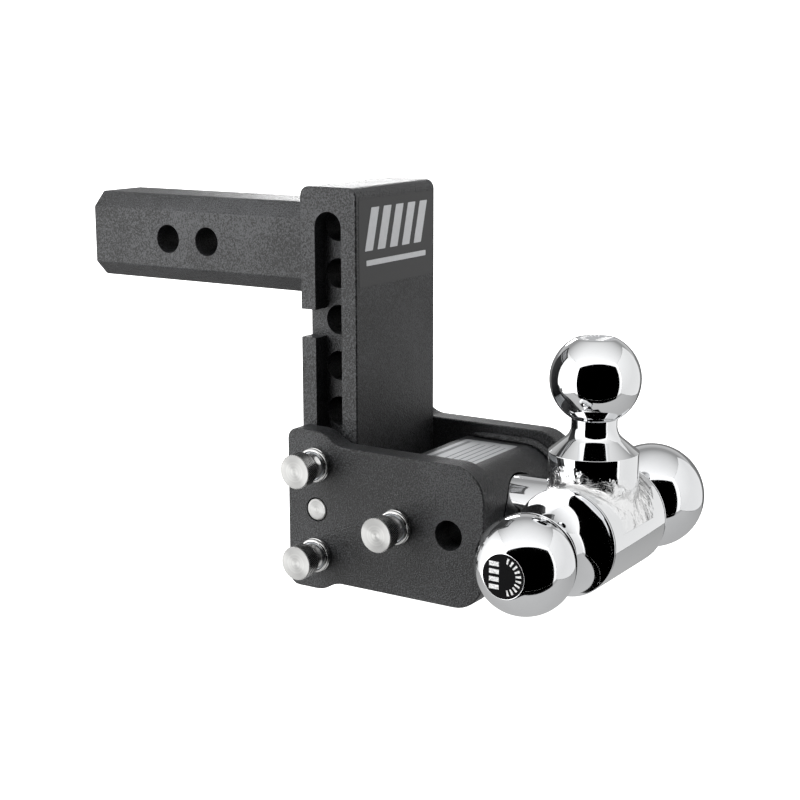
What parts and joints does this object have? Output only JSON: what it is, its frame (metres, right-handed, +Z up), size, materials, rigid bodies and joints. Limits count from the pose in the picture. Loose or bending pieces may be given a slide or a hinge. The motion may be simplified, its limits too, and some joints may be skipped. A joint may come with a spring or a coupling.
{
  "type": "trailer hitch with ball",
  "caption": "Square receiver shank and slotted upright column with a two-plate carriage on pull-out pins, holding a turned chrome head with towing balls of different sizes.",
  "frame": {"origin": "on the shank's axis, at the middle of its forward hitch-pin hole", "axes": "+X rearward along the shank towards the balls, +Y to the far side away from the knobs, +Z up"},
  "size_m": [0.3505, 0.2006, 0.2193],
  "materials": {
    "coat": "satin black textured powder coat",
    "chrome": "polished chrome plate",
    "ground_weld": "ground weld under chrome plate",
    "pin_steel": "ground pin steel",
    "stainless": "turned and knurled stainless steel",
    "rubber": "matt black"
  },
  "bodies": {
    "hitch": {"shank": "coat", "shank_weld": "coat", "column": "coat", "plate_near": "coat", "plate_far": "coat", "housing": "coat", "housing_weld_near": "coat", "housing_weld_far": "coat", "guide_near": "stainless", "guide_far": "stainless", "ball_shaft": "chrome", "shaft_weld": "ground_weld", "barrel": "chrome", "ball_top": "chrome", "ball_top_weld": "ground_weld", "ball_near": "chrome", "ball_far": "chrome"},
    "lower_pin": {"pin_lower": "pin_steel", "collar_lower": "stainless", "knob_lower": "stainless", "ring_lower": "rubber"},
    "upper_pin": {"pin_upper": "pin_steel", "collar_upper": "stainless", "knob_upper": "stainless", "ring_upper": "rubber"},
    "ball_pin": {"pin_ball": "pin_steel", "collar_ball": "stainless", "knob_ball": "stainless", "ring_ball": "rubber"}
  },
  "joints": [
    {"name": "lower_pin_pull", "type": "slide", "parent": "hitch", "child": "lower_pin", "axis": [0, -1, 0], "range_m": [0, 0.112]},
    {"name": "upper_pin_pull", "type": "slide", "parent": "hitch", "child": "upper_pin", "axis": [0, -1, 0], "range_m": [0, 0.112]},
    {"name": "ball_pin_pull", "type": "slide", "parent": "hitch", "child": "ball_pin", "axis": [0, -1, 0], "range_m": [0, 0.112]}
  ]
}
